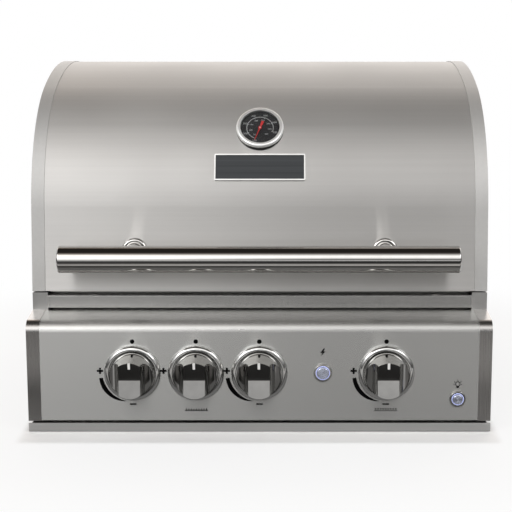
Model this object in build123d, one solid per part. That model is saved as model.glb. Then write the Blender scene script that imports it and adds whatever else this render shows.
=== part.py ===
from build123d import *
import math
import os

# Built-in gas grill. Front faces -Y, +Z is up, the origin is at the middle of the base. Millimetres.

# Driving sizes
width = 711.0
hood_depth = 541.0
panel_to_hood = 58.0
knob_reach = 46.0
firebox_top_z = 206.0

# Shared sheet and clearance values
sheet_t = 1.5
overrun = 40.0
slip_gap = 0.3
running_gap = 0.06

# Hood shell
hood_bottom_z = 208.0
hood_lean_deg = 4.9
hood_straight_h = 132.0
shoulder_r = 209.0
shoulder_end_deg = 68.4
crown_r = 511.0
hood_rear_r = 40.0
hood_rear_edge_z = 430.0
hood_pivot_z = 288.0
band_w = 20.0
band_t = 1.2
hood_side_t = 2.0
liner_inset = 18.0
liner_side_gap = 10.0
side_lip_w = 22.0
side_lip_front_gap = 30.0
side_lip_rear_gap = 100.0

# Hood pivot
pivot_pin_r = 5.0
pivot_head_r = 9.0
pivot_head_t = 5.0
pivot_bracket_t = 3.0
pivot_bracket_r = 22.0
pivot_bracket_gap = 0.8
pivot_foot_w = 22.0

# Rubber bumpers under the hood
bumper_r = 6.0
bumper_inset = 12.0
bumper_rear_offset = 14.0

# Handle
handle_z = 271.0
handle_standoff = 67.0
handle_r = 20.5
handle_wall = 2.5
handle_side_gap = 53.2
handle_cap_t = 6.0
handle_cap_round = 2.5
handle_spigot_len = 12.0
post_inset = 107.3
post_r = 15.5
post_flange_r = 20.5
post_flange_t = 7.0
post_flange_round = 4.0

# Thermometer
gauge_deg = 40.0
gauge_r = 37.5
gauge_rim_w = 6.5
gauge_h = 9.0
gauge_round = 4.0
gauge_floor_h = 3.0
gauge_root = 6.0
gauge_stem_r = 4.0
gauge_stem_hole_r = 5.0
gauge_stem_len = 75.0
dial_t = 0.8
dial_hole_r = 1.4
needle_pin_r = 1.0
needle_pin_h = 5.9
needle_hub_r = 2.8
needle_t = 0.8
needle_lift = 1.0
needle_len = 24.0
needle_tail_len = 13.0
needle_tip_w = 0.8
needle_root_w = 1.8
needle_tail_w = 5.0
needle_rest_deg = 250.0
lens_t = 1.0
lens_lift = 6.6

# Nameplate
plate_deg = 21.9
plate_w = 142.0
plate_h = 42.5
plate_corner_r = 2.0
plate_proud = 3.0
plate_root = 3.0
plate_rim = 3.0
plate_face_t = 1.2
plate_face_sunk = 0.8

# Control panel
panel_bottom_z = 18.0
panel_top_z = 178.0
panel_nose_r = 16.0
panel_top_slope_deg = 6.0
panel_foot_depth = 20.0
panel_back_h = 12.0
cap_w = 20.0
cap_proud = 0.8
cap_wall = 3.0

# Knobs and their bezels
knob_z = 94.0
knob_pitch = 97.0
knob_slots = (-2, -1, 0, 2)
bezel_r = 43.0
bezel_bore_r = 35.5
bezel_h = 9.0
bezel_round = 5.5
bezel_inner_round = 1.2
knob_r = 34.0
knob_front_r = 27.5
knob_lift = 4.2
knob_skirt_h = 12.0
knob_dish = 4.4
knob_grip_w = 32.0
knob_scoop_r = 30.0
knob_wall = 3.5
knob_hub_r = 8.0
knob_skirt_hollow = 5.0
pointer_w = 4.0
pointer_len = 9.7
pointer_depth = 1.4
stem_r = 4.0
stem_in_knob = 20.0
stem_in_valve = 34.0

# Gas valves and manifold
stem_hole_r = 7.5
bonnet_r = 10.0
bonnet_bore_r = 7.0
bonnet_end = 20.0
plunger_r = 6.85
plunger_front = 7.0
plunger_len = 8.0
valve_end = 48.0
valve_half_w = 13.0
valve_half_h = 13.0
valve_bore_r = 4.4
valve_bore_end = 40.0
valve_neck_r = 7.0
spud_r = 5.0
spud_len = 20.0
manifold_rise = 27.0
manifold_back = 36.0
manifold_r = 11.0
manifold_wall = 2.0
manifold_left_over = 30.0
plug_len = 8.0
inlet_inset = 13.5
inlet_r = 8.0
inlet_bore_r = 6.0
inlet_stub = 19.0
inlet_nut_r = 13.0
inlet_nut_t = 8.0
inlet_hole_gap = 1.0

# Push buttons
igniter_bezel_r = 14.0
light_bezel_r = 12.5
light_button_inset = 51.5
light_button_z = 52.5
button_bezel_h = 4.0
button_groove_w = 2.2
button_groove_depth = 1.5
button_rim_w = 2.6
button_barrel_wall = 1.4
button_barrel_len = 16.0
button_gap = 0.12
button_proud = 6.0
button_back = 3.0
button_round = 1.2
button_stem_r = 3.0
button_stem_len = 22.0
module_r = 13.0
module_len = 42.0
module_bore_r = 3.4
module_bore_len = 14.0
switch_len = 20.0

# Firebox
post_w = 24.0
front_bar_bottom_z = 181.2
front_bar_top_z = 201.0
front_bar_depth = 14.0
front_bar_round = 1.0
liner_t = 1.2
liner_side_inset = 25.5
liner_front_back = 28.0
liner_bottom_z = 60.0
liner_lip_front_gap = 16.0
back_wall_ahead = 10.0
back_wall_top_z = 429.0
back_wall_lip = 10.0
rear_panel_behind = 60.0
rail_t = 2.0
rail_h = 40.0
rail_flange_w = 40.0
mount_hole_r = 3.5
mount_hole_front_gap = 60.0
mount_hole_rear_gap = 60.0

# Drip tray
tray_t = 1.2
tray_h = 11.0
tray_lift = 0.5
tray_side_gap = 1.5
tray_rear_gap = 12.0
tray_front_top_z = 14.0
tray_front_lip = 8.0
tray_front_lift = 1.0

# Burners and supports
support_t = 2.0
ledge_w = 14.0
grate_ledge_z = 186.0
tamer_ledge_z = 130.0
burner_ledge_z = 84.0
burner_slots = (-2, 0)
sear_slot = 2
burner_w = 56.0
burner_h = 20.0
burner_round = 9.0
burner_end_gap = 22.0
port_w = 2.5
port_len = 14.0
port_count = 14
port_end_gap = 25.0
port_depth = 4.0
venturi_r = 13.0
venturi_bore_r = 11.0
venturi_front = 60.0
venturi_hole_gap = 1.0
sear_side_gap = 39.8
sear_tamer_gap = 37.0
sear_h = 62.0
sear_wall = 2.0
tile_t = 14.0
tile_groove = 1.5
tile_rows = 5
rear_burner_side_gap = 138.8
rear_burner_bottom_z = 290.0
rear_burner_h = 100.0
rear_burner_depth = 38.0
rear_burner_rim = 10.0
gas_tube_r = 4.0
gas_tube_bend_r = 18.0
gas_tube_low_z = 42.0
gas_tube_entry_z = 330.0
gas_tube_out = 22.0
gas_tube_hole_gap = 0.5
tamer_half_w = 62.0
tamer_rise = 26.0
electrode_r = 3.0
electrode_len = 45.0
electrode_offset = 20.0

# Grates and rack
grate_count = 3
grate_gap = 4.0
grate_bar = 8.0
grate_rod_r = 4.0
grate_rod_sink = 3.0
grate_rods = 11
grate_end_gap = 2.0
rack_z = 418.0
rack_depth = 130.0
rack_side_inset = 45.0
rack_frame_r = 3.0
rack_rod_r = 2.0
rack_rods = 24
rack_wall_gap = 6.0
rack_bracket_h = 24.0
rack_bracket_t = 2.0

# Interior lamps
lamp_inset = 90.5
lamp_z = 345.0
lamp_w = 56.0
lamp_h = 40.0
lamp_depth = 22.0
lamp_round = 5.0
lamp_lens_rim = 5.0
lamp_lens_t = 6.0

# Planes worked out from the driving sizes
half_w = width / 2
panel_y = knob_reach - (knob_reach + panel_to_hood + hood_depth) / 2
hood_front_y = panel_y + panel_to_hood
hood_rear_y = hood_front_y + hood_depth
side_corner_r = hood_pivot_z - hood_bottom_z
pivot_y = hood_rear_y - side_corner_r
rear_panel_y = pivot_y + rear_panel_behind
wall_y = pivot_y - back_wall_ahead
liner_y = hood_front_y + liner_front_back
liner_half_w = half_w - liner_side_inset
cook_front_y = liner_y + liner_t
cook_rear_y = wall_y - liner_t
cook_half_w = liner_half_w - liner_t
handle_len = width - 2 * handle_side_gap
handle_inner_r = handle_r - handle_wall
post_x = handle_len / 2 - post_inset
inlet_x = half_w - inlet_inset
light_button_x = half_w - light_button_inset
lamp_x = half_w - lamp_inset
rear_burner_w = 2 * (cook_half_w - rear_burner_side_gap)
manifold_y = panel_y + manifold_back
manifold_z = knob_z + manifold_rise
ledge_front_y = cook_front_y + ledge_w

# Hood outline: leaning front, shoulder arc, crown arc, rear corner arc, upright rear
lean = math.radians(hood_lean_deg)
shoulder_end = math.radians(shoulder_end_deg)
straight_end = (hood_front_y + hood_straight_h * math.tan(lean), hood_bottom_z + hood_straight_h)
shoulder_c = (straight_end[0] + shoulder_r * math.cos(lean), straight_end[1] - shoulder_r * math.sin(lean))
arc_step = crown_r - shoulder_r
crown_c = (shoulder_c[0] + arc_step * math.cos(shoulder_end), shoulder_c[1] - arc_step * math.sin(shoulder_end))
rear_c_y = hood_rear_y - hood_rear_r
rear_c_z = crown_c[1] + math.sqrt((crown_r - hood_rear_r) ** 2 - (rear_c_y - crown_c[0]) ** 2)
crown_end = math.atan2(rear_c_z - crown_c[1], crown_c[0] - rear_c_y)

# Control panel outline: upright face, nose arc, sloped top
top_slope = math.radians(panel_top_slope_deg)
nose_c_y = panel_y + panel_nose_r
nose_top_z = panel_top_z - (hood_front_y - nose_c_y) * math.tan(top_slope)
nose_c_z = nose_top_z - panel_nose_r / math.cos(top_slope)


def at(y, z):
    return Vector(0, y, z)


def block(x0, x1, y0, y1, z0, z1):
    return Pos((x0 + x1) / 2, (y0 + y1) / 2, (z0 + z1) / 2) * Box(x1 - x0, y1 - y0, z1 - z0)


def rod(start, end, radius):
    along = Vector(*end) - Vector(*start)
    return Solid.make_cylinder(radius, along.length, Plane(origin=start, z_dir=along))


def across(face, x0, x1):
    return Solid.extrude(face, Vector(x1 - x0, 0, 0)).moved(Location((x0, 0, 0)))


def polygon(points):
    corners = [at(*point) for point in points]
    return Face(Wire([Edge.make_line(a, b) for a, b in zip(corners, corners[1:] + corners[:1])]))


def inlet_passage():
    """The room that the gas inlet pipe needs where it passes the end cap and the corner post."""
    return rod((inlet_x, manifold_y, manifold_z), (inlet_x, wall_y, manifold_z), inlet_r + inlet_hole_gap)


def mirrored(shape):
    return shape.mirror(Plane.YZ)


def arc_point(centre, radius, angle):
    return at(centre[0] - radius * math.cos(angle), centre[1] + radius * math.sin(angle))


def arc_edge(centre, radius, start, end):
    middle = (start + end) / 2
    ends = [arc_point(centre, radius, angle) for angle in (start, middle, end)]
    return Edge.make_three_point_arc(*ends)


def front_y(z, inset):
    return hood_front_y + (z - hood_bottom_z) * math.tan(lean) + inset / math.cos(lean)


def hood_edges(inset, rear_z):
    """The hood's outline at a depth under its outer surface, from the front bottom to the rear edge."""
    rear_c = (rear_c_y, rear_c_z)
    shoulder = arc_edge(shoulder_c, shoulder_r - inset, lean, shoulder_end)
    crown = arc_edge(crown_c, crown_r - inset, shoulder_end, crown_end)
    corner = arc_edge(rear_c, hood_rear_r - inset, crown_end, math.pi)
    front = Edge.make_line(at(front_y(hood_bottom_z, inset), hood_bottom_z), shoulder @ 0)
    rear = Edge.make_line(corner @ 1, at(hood_rear_y - inset, rear_z))
    return [front, shoulder, crown, corner, rear]


def hood_strip(outer, inner, rear_z, half):
    """A bent sheet that follows the hood's outline between two depths."""
    outside = hood_edges(outer, rear_z)
    inside = hood_edges(inner, rear_z)
    ends = [Edge.make_line(outside[0] @ 0, inside[0] @ 0), Edge.make_line(outside[-1] @ 1, inside[-1] @ 1)]
    return across(Face(Wire(outside + inside + ends)), -half, half)


def hood_envelope(inset):
    """Everything under one depth of the hood, for cutting pieces that seat on it."""
    edges = hood_edges(inset, hood_bottom_z)
    closing = Edge.make_line(edges[-1] @ 1, edges[0] @ 0)
    return across(Face(Wire(edges + [closing])), -half_w, half_w)


def hood_plane(x, angle):
    """A plane on the hood's skin at an angle round its shoulder, facing out."""
    point = arc_point(shoulder_c, shoulder_r - band_t, angle)
    return Plane(origin=(x, point.Y, point.Z), x_dir=(1, 0, 0), z_dir=(0, -math.cos(angle), math.sin(angle)))


def panel_plane(x, z):
    """A plane on the control panel's face, facing out, with its own y upward."""
    return Plane(origin=(x, panel_y, z), x_dir=(1, 0, 0), z_dir=(0, -1, 0))


def disc(plane, radius, low, high):
    return Solid.make_cylinder(radius, high - low, plane.offset(low))


def ring(plane, radius, bore, low, high):
    return disc(plane, radius, low, high) - disc(plane, bore, low - overrun, high + overrun)


def knob_x(slot):
    return slot * knob_pitch


# Hood


def hood_skin():
    inner = band_t + sheet_t
    half = half_w - hood_side_t
    shell = hood_strip(band_t, inner, hood_rear_edge_z, half)
    plane = hood_plane(0, math.radians(gauge_deg))
    return shell - disc(plane, gauge_stem_hole_r, -overrun, overrun)


def hood_liner():
    outer = band_t + sheet_t + liner_inset
    inner = outer + liner_t
    half = half_w - hood_side_t - liner_side_gap
    shell = hood_strip(outer, inner, hood_rear_edge_z, half)
    skin_inner = band_t + sheet_t
    low, high = hood_bottom_z, hood_bottom_z + liner_t
    front = polygon([(front_y(low, skin_inner), low), (front_y(low, inner), low),
                     (front_y(high, inner), high), (front_y(high, skin_inner), high)])
    rear_low, rear_high = hood_rear_edge_z, hood_rear_edge_z + liner_t
    rear = block(-half, half, hood_rear_y - inner, hood_rear_y - skin_inner, rear_low, rear_high)
    plane = hood_plane(0, math.radians(gauge_deg))
    return shell + across(front, -half, half) + rear - disc(plane, gauge_stem_hole_r, -overrun, overrun)


def hood_side():
    """The right side: a flat plate with the trim band that wraps onto the skin, and a bottom lip."""
    edges = hood_edges(0, hood_pivot_z)
    low_rear = (pivot_y, hood_bottom_z)
    corner = arc_edge((pivot_y, hood_pivot_z), side_corner_r, math.pi, 3 * math.pi / 2)
    bottom = Edge.make_line(at(*low_rear), edges[0] @ 0)
    plate = across(Face(Wire(edges + [corner, bottom])), half_w - hood_side_t, half_w)
    outside = hood_edges(0, hood_rear_edge_z)
    inside = hood_edges(band_t, hood_rear_edge_z)
    ends = [Edge.make_line(outside[0] @ 0, inside[0] @ 0), Edge.make_line(outside[-1] @ 1, inside[-1] @ 1)]
    band = across(Face(Wire(outside + inside + ends)), half_w - band_w, half_w)
    lip = block(half_w - hood_side_t - side_lip_w, half_w - hood_side_t,
                hood_front_y + side_lip_front_gap, pivot_y - side_lip_rear_gap,
                hood_bottom_z, hood_bottom_z + sheet_t)
    pin = (0, pivot_y, hood_pivot_z)
    hole = rod(pin, (width, pivot_y, hood_pivot_z), pivot_pin_r + running_gap)
    return plate + band + lip - hole


def pivot_brackets():
    """Ears on the firebox's top that carry the hood."""
    outer = half_w - hood_side_t - pivot_bracket_gap
    inner = outer - pivot_bracket_t
    ear = block(inner, outer, pivot_y - pivot_bracket_r, pivot_y + pivot_bracket_r, firebox_top_z, hood_pivot_z)
    ear += rod((inner, pivot_y, hood_pivot_z), (outer, pivot_y, hood_pivot_z), pivot_bracket_r)
    foot = block(outer - pivot_foot_w, outer, pivot_y - pivot_bracket_r, pivot_y + pivot_bracket_r,
                 firebox_top_z, firebox_top_z + pivot_bracket_t)
    hole = rod((0, pivot_y, hood_pivot_z), (width, pivot_y, hood_pivot_z), pivot_pin_r)
    ear = ear + foot - hole
    return [ear, mirrored(ear)]


def pivot_pins():
    inner = half_w - hood_side_t - pivot_bracket_gap - pivot_bracket_t
    pin = rod((inner - pivot_head_t, pivot_y, hood_pivot_z), (inner, pivot_y, hood_pivot_z), pivot_head_r)
    pin += rod((inner, pivot_y, hood_pivot_z), (half_w, pivot_y, hood_pivot_z), pivot_pin_r)
    return [pin, mirrored(pin)]


def hood_bumpers():
    y = hood_front_y + side_lip_front_gap + bumper_rear_offset
    x = half_w - bumper_inset
    pad = rod((x, y, firebox_top_z + slip_gap), (x, y, hood_bottom_z), bumper_r)
    return [pad, mirrored(pad)]


# Handle


def handle_surface_y():
    return front_y(handle_z, band_t)


def handle_y():
    return handle_surface_y() - handle_standoff


def handle_axis_rod(radius, length):
    return rod((-length / 2, handle_y(), handle_z), (length / 2, handle_y(), handle_z), radius)


def handle_tube():
    length = handle_len - 2 * handle_cap_t
    return handle_axis_rod(handle_r, length) - handle_axis_rod(handle_inner_r, length + overrun)


def handle_end_caps():
    end = handle_len / 2
    shoulder = end - handle_cap_t
    cap = rod((shoulder, handle_y(), handle_z), (end, handle_y(), handle_z), handle_r)
    cap = fillet(cap.edges().sort_by(Axis.X)[-1], handle_cap_round)
    spigot = rod((shoulder - handle_spigot_len, handle_y(), handle_z), (shoulder, handle_y(), handle_z),
                 handle_inner_r - slip_gap)
    cap = cap + spigot
    return [cap, mirrored(cap)]


def handle_posts():
    """Turned posts with a domed flange that seats on the leaning skin."""
    surface = handle_surface_y()
    plane = Plane(origin=(post_x, surface, handle_z), x_dir=(1, 0, 0), z_dir=(0, -math.cos(lean), math.sin(lean)))
    flange = disc(plane, post_flange_r, 0, post_flange_t)
    flange = fillet(flange.edges().sort_by(Axis.Y)[0], post_flange_round)
    bar = rod((post_x, handle_y(), handle_z), (post_x, surface + post_r, handle_z), post_r)
    post = flange + (bar - hood_envelope(band_t)) - handle_axis_rod(handle_r, handle_len)
    return [post, mirrored(post)]


# Thermometer


def gauge_plane():
    return hood_plane(0, math.radians(gauge_deg))


def gauge_face_r():
    return gauge_r - gauge_rim_w


def thermometer_case():
    plane = gauge_plane()
    case = disc(plane, gauge_r, -gauge_root, gauge_h)
    case = fillet(case.edges().filter_by(GeomType.CIRCLE).sort_by(Axis.Z)[-1], gauge_round)
    case = case - disc(plane, gauge_face_r(), gauge_floor_h, gauge_h + overrun) - hood_envelope(band_t)
    case += disc(plane, gauge_stem_r, -gauge_stem_len, gauge_floor_h)
    return case + disc(plane, needle_pin_r, gauge_floor_h, needle_pin_h)


def thermometer_dial():
    plane = gauge_plane()
    return ring(plane, gauge_face_r() - slip_gap, dial_hole_r, gauge_floor_h, gauge_floor_h + dial_t)


def thermometer_needle():
    dial = gauge_plane()
    turn = math.radians(needle_rest_deg)
    along = dial.x_dir * math.cos(turn) + dial.y_dir * math.sin(turn)
    plane = Plane(origin=dial.origin, x_dir=along, z_dir=dial.z_dir)
    low = gauge_floor_h + dial_t + needle_lift
    outline = [(needle_len, needle_tip_w / 2), (0, needle_root_w / 2), (-needle_tail_len, needle_tail_w / 2),
               (-needle_tail_len, -needle_tail_w / 2), (0, -needle_root_w / 2), (needle_len, -needle_tip_w / 2)]
    blade = extrude(plane.offset(low) * make_face(Polyline(*outline, close=True)), needle_t)
    hub = disc(plane, needle_hub_r, low, low + needle_t)
    return blade + hub - disc(plane, needle_pin_r + running_gap, 0, gauge_h)


def thermometer_lens():
    return disc(gauge_plane(), gauge_face_r() - slip_gap, lens_lift, lens_lift + lens_t)


# Nameplate


def nameplate_plane():
    return hood_plane(0, math.radians(plate_deg))


def plate_slab(shrink, low, high):
    plane = nameplate_plane().offset(low)
    outline = RectangleRounded(plate_w - 2 * shrink, plate_h - 2 * shrink, plate_corner_r)
    return extrude(plane * outline, high - low)


def nameplate_frame():
    floor = plate_proud - plate_face_sunk - plate_face_t
    slab = plate_slab(0, -plate_root, plate_proud) - plate_slab(plate_rim, floor, plate_proud + overrun)
    return slab - hood_envelope(band_t)


def nameplate_face():
    floor = plate_proud - plate_face_sunk - plate_face_t
    return plate_slab(plate_rim, floor, floor + plate_face_t)


# Control panel


def panel_edges(inset, foot_y):
    """The panel's outline at a depth under its surface, from its foot up and back to the hood's plane."""
    face_y = panel_y + inset
    foot_z = panel_bottom_z + inset
    radius = panel_nose_r - inset
    nose = arc_edge((nose_c_y, nose_c_z), radius, 0, math.pi / 2 - top_slope)
    rear_y = hood_front_y - max(inset, 0)
    drop = (hood_front_y - rear_y) * math.tan(top_slope)
    top_z = panel_top_z - drop - inset / math.cos(top_slope)
    foot = Edge.make_line(at(foot_y, foot_z), at(face_y, foot_z))
    face = Edge.make_line(at(face_y, foot_z), nose @ 0)
    top = Edge.make_line(nose @ 1, at(rear_y, top_z))
    return [foot, face, nose, top]


def control_panel():
    half = half_w - cap_w
    foot_y = panel_y + panel_foot_depth
    outside = panel_edges(0, foot_y)
    inside = panel_edges(sheet_t, foot_y)
    low_z = panel_top_z - panel_back_h
    outer_low = at(hood_front_y, low_z)
    inner_low = at(hood_front_y - sheet_t, low_z)
    ends = [Edge.make_line(outside[0] @ 0, inside[0] @ 0), Edge.make_line(outside[-1] @ 1, outer_low),
            Edge.make_line(outer_low, inner_low), Edge.make_line(inner_low, inside[-1] @ 1)]
    sheet = across(Face(Wire(outside + inside + ends)), -half, half)
    for slot in knob_slots:
        sheet -= disc(panel_plane(knob_x(slot), knob_z), stem_hole_r, -overrun, overrun)
    for x, z, radius in button_places():
        sheet -= disc(panel_plane(x, z), button_barrel_r(radius), -overrun, overrun)
    return sheet


def cap_solid(inset, rear_y, x0, x1):
    edges = panel_edges(inset, rear_y)
    closing = Edge.make_line(edges[-1] @ 1, edges[0] @ 0)
    return across(Face(Wire(edges + [closing])), x0, x1)


def panel_end_cap():
    """The right polished end of the panel, a hollow casting open toward the panel."""
    shell = cap_solid(-cap_proud, hood_front_y, half_w - cap_w, half_w)
    pocket = cap_solid(cap_wall, hood_front_y - cap_wall, half_w - cap_w, half_w - cap_wall)
    return shell - pocket - inlet_passage()


# Knobs and valves


def knob_bezels():
    bezels = []
    for slot in knob_slots:
        plane = panel_plane(knob_x(slot), knob_z)
        body = ring(plane, bezel_r, bezel_bore_r, 0, bezel_h)
        front = body.edges().filter_by(GeomType.CIRCLE).group_by(Axis.Y)[0].sort_by(SortBy.RADIUS)
        body = fillet(front[-1], bezel_round)
        front = body.edges().filter_by(GeomType.CIRCLE).group_by(Axis.Y)[0].sort_by(SortBy.RADIUS)
        bezels.append(fillet(front[0], bezel_inner_round))
    return bezels


def knob(slot):
    """A cone with scooped sides, so that a grip bar stands across it, and a front dished for the fingers."""
    plane = panel_plane(knob_x(slot), knob_z)
    skirt = disc(plane, knob_r, knob_lift, knob_skirt_h)
    taper = Solid.make_cone(knob_r, knob_front_r, knob_reach - knob_skirt_h, plane.offset(knob_skirt_h))
    side = Plane(origin=plane.origin, x_dir=plane.y_dir, z_dir=plane.x_dir)
    dish = [(-knob_r, 0), (knob_r, 0), (knob_r, knob_reach), (knob_front_r, knob_reach),
            (0, knob_reach - knob_dish), (-knob_front_r, knob_reach), (-knob_r, knob_reach)]
    slab = extrude(side * make_face(Polyline(*dish, close=True)), knob_r, both=True)
    body = (skirt + taper) & slab
    scoop_x = knob_grip_w / 2 + knob_scoop_r
    for sign in (-1, 1):
        centre = plane.from_local_coords((sign * scoop_x, 0, knob_reach))
        body -= rod((centre.X, centre.Y, centre.Z - width), (centre.X, centre.Y, centre.Z + width), knob_scoop_r)
    pointer_low = knob_front_r - pointer_len
    groove_h = knob_reach - knob_dish * pointer_len / knob_front_r - pointer_depth
    groove = block(knob_x(slot) - pointer_w / 2, knob_x(slot) + pointer_w / 2,
                   panel_y - knob_reach - overrun, panel_y - groove_h,
                   knob_z + pointer_low, knob_z + knob_r)
    return body - groove - knob_hollow(slot, plane)


def knob_hollow(slot, plane):
    """The room inside the knob's casting, round the hub that takes the stem."""
    half_x = knob_grip_w / 2 - knob_wall
    half_z = knob_front_r - knob_wall
    grip = block(knob_x(slot) - half_x, knob_x(slot) + half_x, panel_y - knob_reach + knob_dish + knob_wall,
                 panel_y, knob_z - half_z, knob_z + half_z)
    skirt = disc(plane, knob_r - knob_wall, 0, knob_lift + knob_skirt_hollow)
    bore = disc(plane, stem_r, 0, knob_lift + stem_in_knob)
    return grip + skirt - disc(plane, knob_hub_r, knob_lift, knob_reach) + bore


def valve_stem(slot):
    plane = panel_plane(knob_x(slot), knob_z)
    return disc(plane, stem_r, -stem_in_valve, knob_lift + stem_in_knob)


def valve_plunger(slot):
    plane = panel_plane(knob_x(slot), knob_z)
    low = -plunger_front - plunger_len
    return ring(plane, plunger_r, stem_r + running_gap, low, -plunger_front)


def gas_valve(slot):
    x = knob_x(slot)
    plane = panel_plane(x, knob_z)
    bonnet = disc(plane, bonnet_r, -bonnet_end, -sheet_t)
    body = block(x - valve_half_w, x + valve_half_w, panel_y + bonnet_end, panel_y + valve_end,
                 knob_z - valve_half_h, knob_z + valve_half_h)
    neck = rod((x, manifold_y, manifold_z), (x, manifold_y, knob_z), valve_neck_r)
    spud_end = valve_end if slot == rear_slot() else valve_end + spud_len
    spud = disc(plane, spud_r, -spud_end, -bonnet_end)
    valve = bonnet + body + neck + spud
    valve -= disc(plane, bonnet_bore_r, -bonnet_end, overrun)
    valve -= disc(plane, valve_bore_r, -valve_bore_end, overrun)
    return valve - rod((-width, manifold_y, manifold_z), (width, manifold_y, manifold_z), manifold_r)


def rear_slot():
    return knob_slots[1]


def gas_manifold():
    left = knob_x(knob_slots[0]) - manifold_left_over
    right = inlet_x + inlet_r
    bore_r = manifold_r - manifold_wall
    tube = rod((left, manifold_y, manifold_z), (right, manifold_y, manifold_z), manifold_r)
    tube -= rod((left, manifold_y, manifold_z), (right - manifold_wall, manifold_y, manifold_z), bore_r)
    plug = rod((left, manifold_y, manifold_z), (left + plug_len, manifold_y, manifold_z), bore_r)
    return [tube, plug]


def gas_inlet_pipe():
    end = rear_panel_y + inlet_stub
    pipe = rod((inlet_x, manifold_y, manifold_z), (inlet_x, end, manifold_z), inlet_r)
    nut_plane = Plane(origin=(inlet_x, rear_panel_y, manifold_z), x_dir=(1, 0, 0), z_dir=(0, 1, 0))
    nut = extrude(nut_plane * RegularPolygon(inlet_nut_r, 6), inlet_nut_t)
    pipe = pipe + nut - rod((inlet_x, manifold_y, manifold_z), (inlet_x, end + overrun, manifold_z), inlet_bore_r)
    return pipe - rod((-width, manifold_y, manifold_z), (width, manifold_y, manifold_z), manifold_r)


# Push buttons


def button_places():
    return [(knob_pitch, knob_z, igniter_bezel_r), (light_button_x, light_button_z, light_bezel_r)]


def button_r(bezel_radius):
    return bezel_radius - button_rim_w - button_groove_w - button_gap


def button_barrel_r(bezel_radius):
    return button_r(bezel_radius) + button_gap + button_barrel_wall


def button_bezel(x, z, radius):
    """A rim with a groove for its light ring, on a barrel that goes through the panel."""
    plane = panel_plane(x, z)
    bore = button_r(radius) + button_gap
    rim = disc(plane, radius, 0, button_bezel_h)
    rim = fillet(rim.edges().sort_by(Axis.Y)[0], button_round)
    barrel = disc(plane, button_barrel_r(radius), -button_barrel_len, 0)
    groove_low = button_bezel_h - button_groove_depth
    groove = disc(plane, bore + button_groove_w, groove_low, button_bezel_h + overrun)
    return rim + barrel - groove - disc(plane, bore, -overrun, overrun)


def push_button(x, z, radius):
    plane = panel_plane(x, z)
    cap = disc(plane, button_r(radius), -button_back, button_proud)
    cap = fillet(cap.edges().sort_by(Axis.Y)[0], button_round)
    return cap + disc(plane, button_stem_r, -button_stem_len, -button_back)


def spark_module():
    plane = panel_plane(knob_pitch, knob_z)
    end = -button_barrel_len - module_len
    bore_end = -button_barrel_len - module_bore_len
    return disc(plane, module_r, end, -button_barrel_len) - disc(plane, module_bore_r, bore_end, overrun)


def light_switch():
    plane = panel_plane(light_button_x, light_button_z)
    radius = button_barrel_r(light_bezel_r)
    end = -button_barrel_len - switch_len
    bore_end = -button_barrel_len - module_bore_len
    return disc(plane, radius, end, -button_barrel_len) - disc(plane, module_bore_r, bore_end, overrun)


# Firebox


def firebox_side():
    """The right side plate with its front post flange, its top flange and the pipe's hole."""
    inner = half_w - sheet_t
    plate = block(inner, half_w, hood_front_y, rear_panel_y, 0, firebox_top_z)
    post = block(half_w - post_w, half_w, hood_front_y, hood_front_y + sheet_t, panel_bottom_z, firebox_top_z)
    top = block(half_w - post_w, half_w, hood_front_y, rear_panel_y, firebox_top_z - sheet_t, firebox_top_z)
    return plate + post + top - inlet_passage()


def firebox_rear_panel():
    half = half_w - sheet_t
    plate = block(-half, half, rear_panel_y - sheet_t, rear_panel_y, panel_bottom_z, firebox_top_z - sheet_t)
    hole_end = rear_panel_y + overrun
    return plate - rod((inlet_x, wall_y, manifold_z), (inlet_x, hole_end, manifold_z), inlet_r)


def front_bar():
    half = half_w - post_w
    bar = block(-half, half, hood_front_y, hood_front_y + front_bar_depth, front_bar_bottom_z, front_bar_top_z)
    return fillet(bar.edges().filter_by(Axis.X), front_bar_round)


def firebox_liner():
    """Front and side walls of the cooking space, with rims that hang from the sides' top flanges."""
    rim_top = firebox_top_z - sheet_t
    rim_low = rim_top - liner_t
    front = block(-liner_half_w, liner_half_w, liner_y, cook_front_y, liner_bottom_z, rim_top)
    right = block(cook_half_w, liner_half_w, liner_y, wall_y, liner_bottom_z, rim_top)
    rim = block(cook_half_w, half_w - sheet_t, liner_y, wall_y, rim_low, rim_top)
    lip = block(-liner_half_w, liner_half_w, hood_front_y + liner_lip_front_gap, liner_y, rim_low, rim_top)
    liner = front + right + mirrored(right) + rim + mirrored(rim) + lip
    for slot in burner_slots + (sear_slot,):
        plane = panel_plane(knob_x(slot), knob_z)
        liner -= disc(plane, venturi_r + venturi_hole_gap, -(cook_front_y - panel_y) - overrun, 0)
    return liner


def firebox_back_wall():
    wall = block(-cook_half_w, cook_half_w, cook_rear_y, wall_y, liner_bottom_z, back_wall_top_z)
    lip = block(-cook_half_w, cook_half_w, wall_y - back_wall_lip, wall_y,
                back_wall_top_z - liner_t, back_wall_top_z)
    x = knob_x(rear_slot())
    hole = rod((x, cook_rear_y - overrun, gas_tube_entry_z), (x, wall_y + overrun, gas_tube_entry_z),
               gas_tube_r + gas_tube_hole_gap)
    return wall + lip - hole


def base_rails():
    """Angle rails that the grill stands on and the drip tray runs on, drilled for four bolts."""
    outer = half_w - sheet_t
    front, rear = hood_front_y + sheet_t, rear_panel_y - sheet_t
    leg = block(outer - rail_t, outer, front, rear, 0, rail_h)
    foot = block(outer - rail_flange_w, outer, front, rear, 0, rail_t)
    rail = leg + foot
    for y in mount_hole_ys():
        rail -= rod((mount_hole_x(), y, -overrun), (mount_hole_x(), y, overrun), mount_hole_r)
    return [rail, mirrored(rail)]


def mount_hole_x():
    return half_w - sheet_t - rail_t - (rail_flange_w - rail_t) / 2


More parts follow.
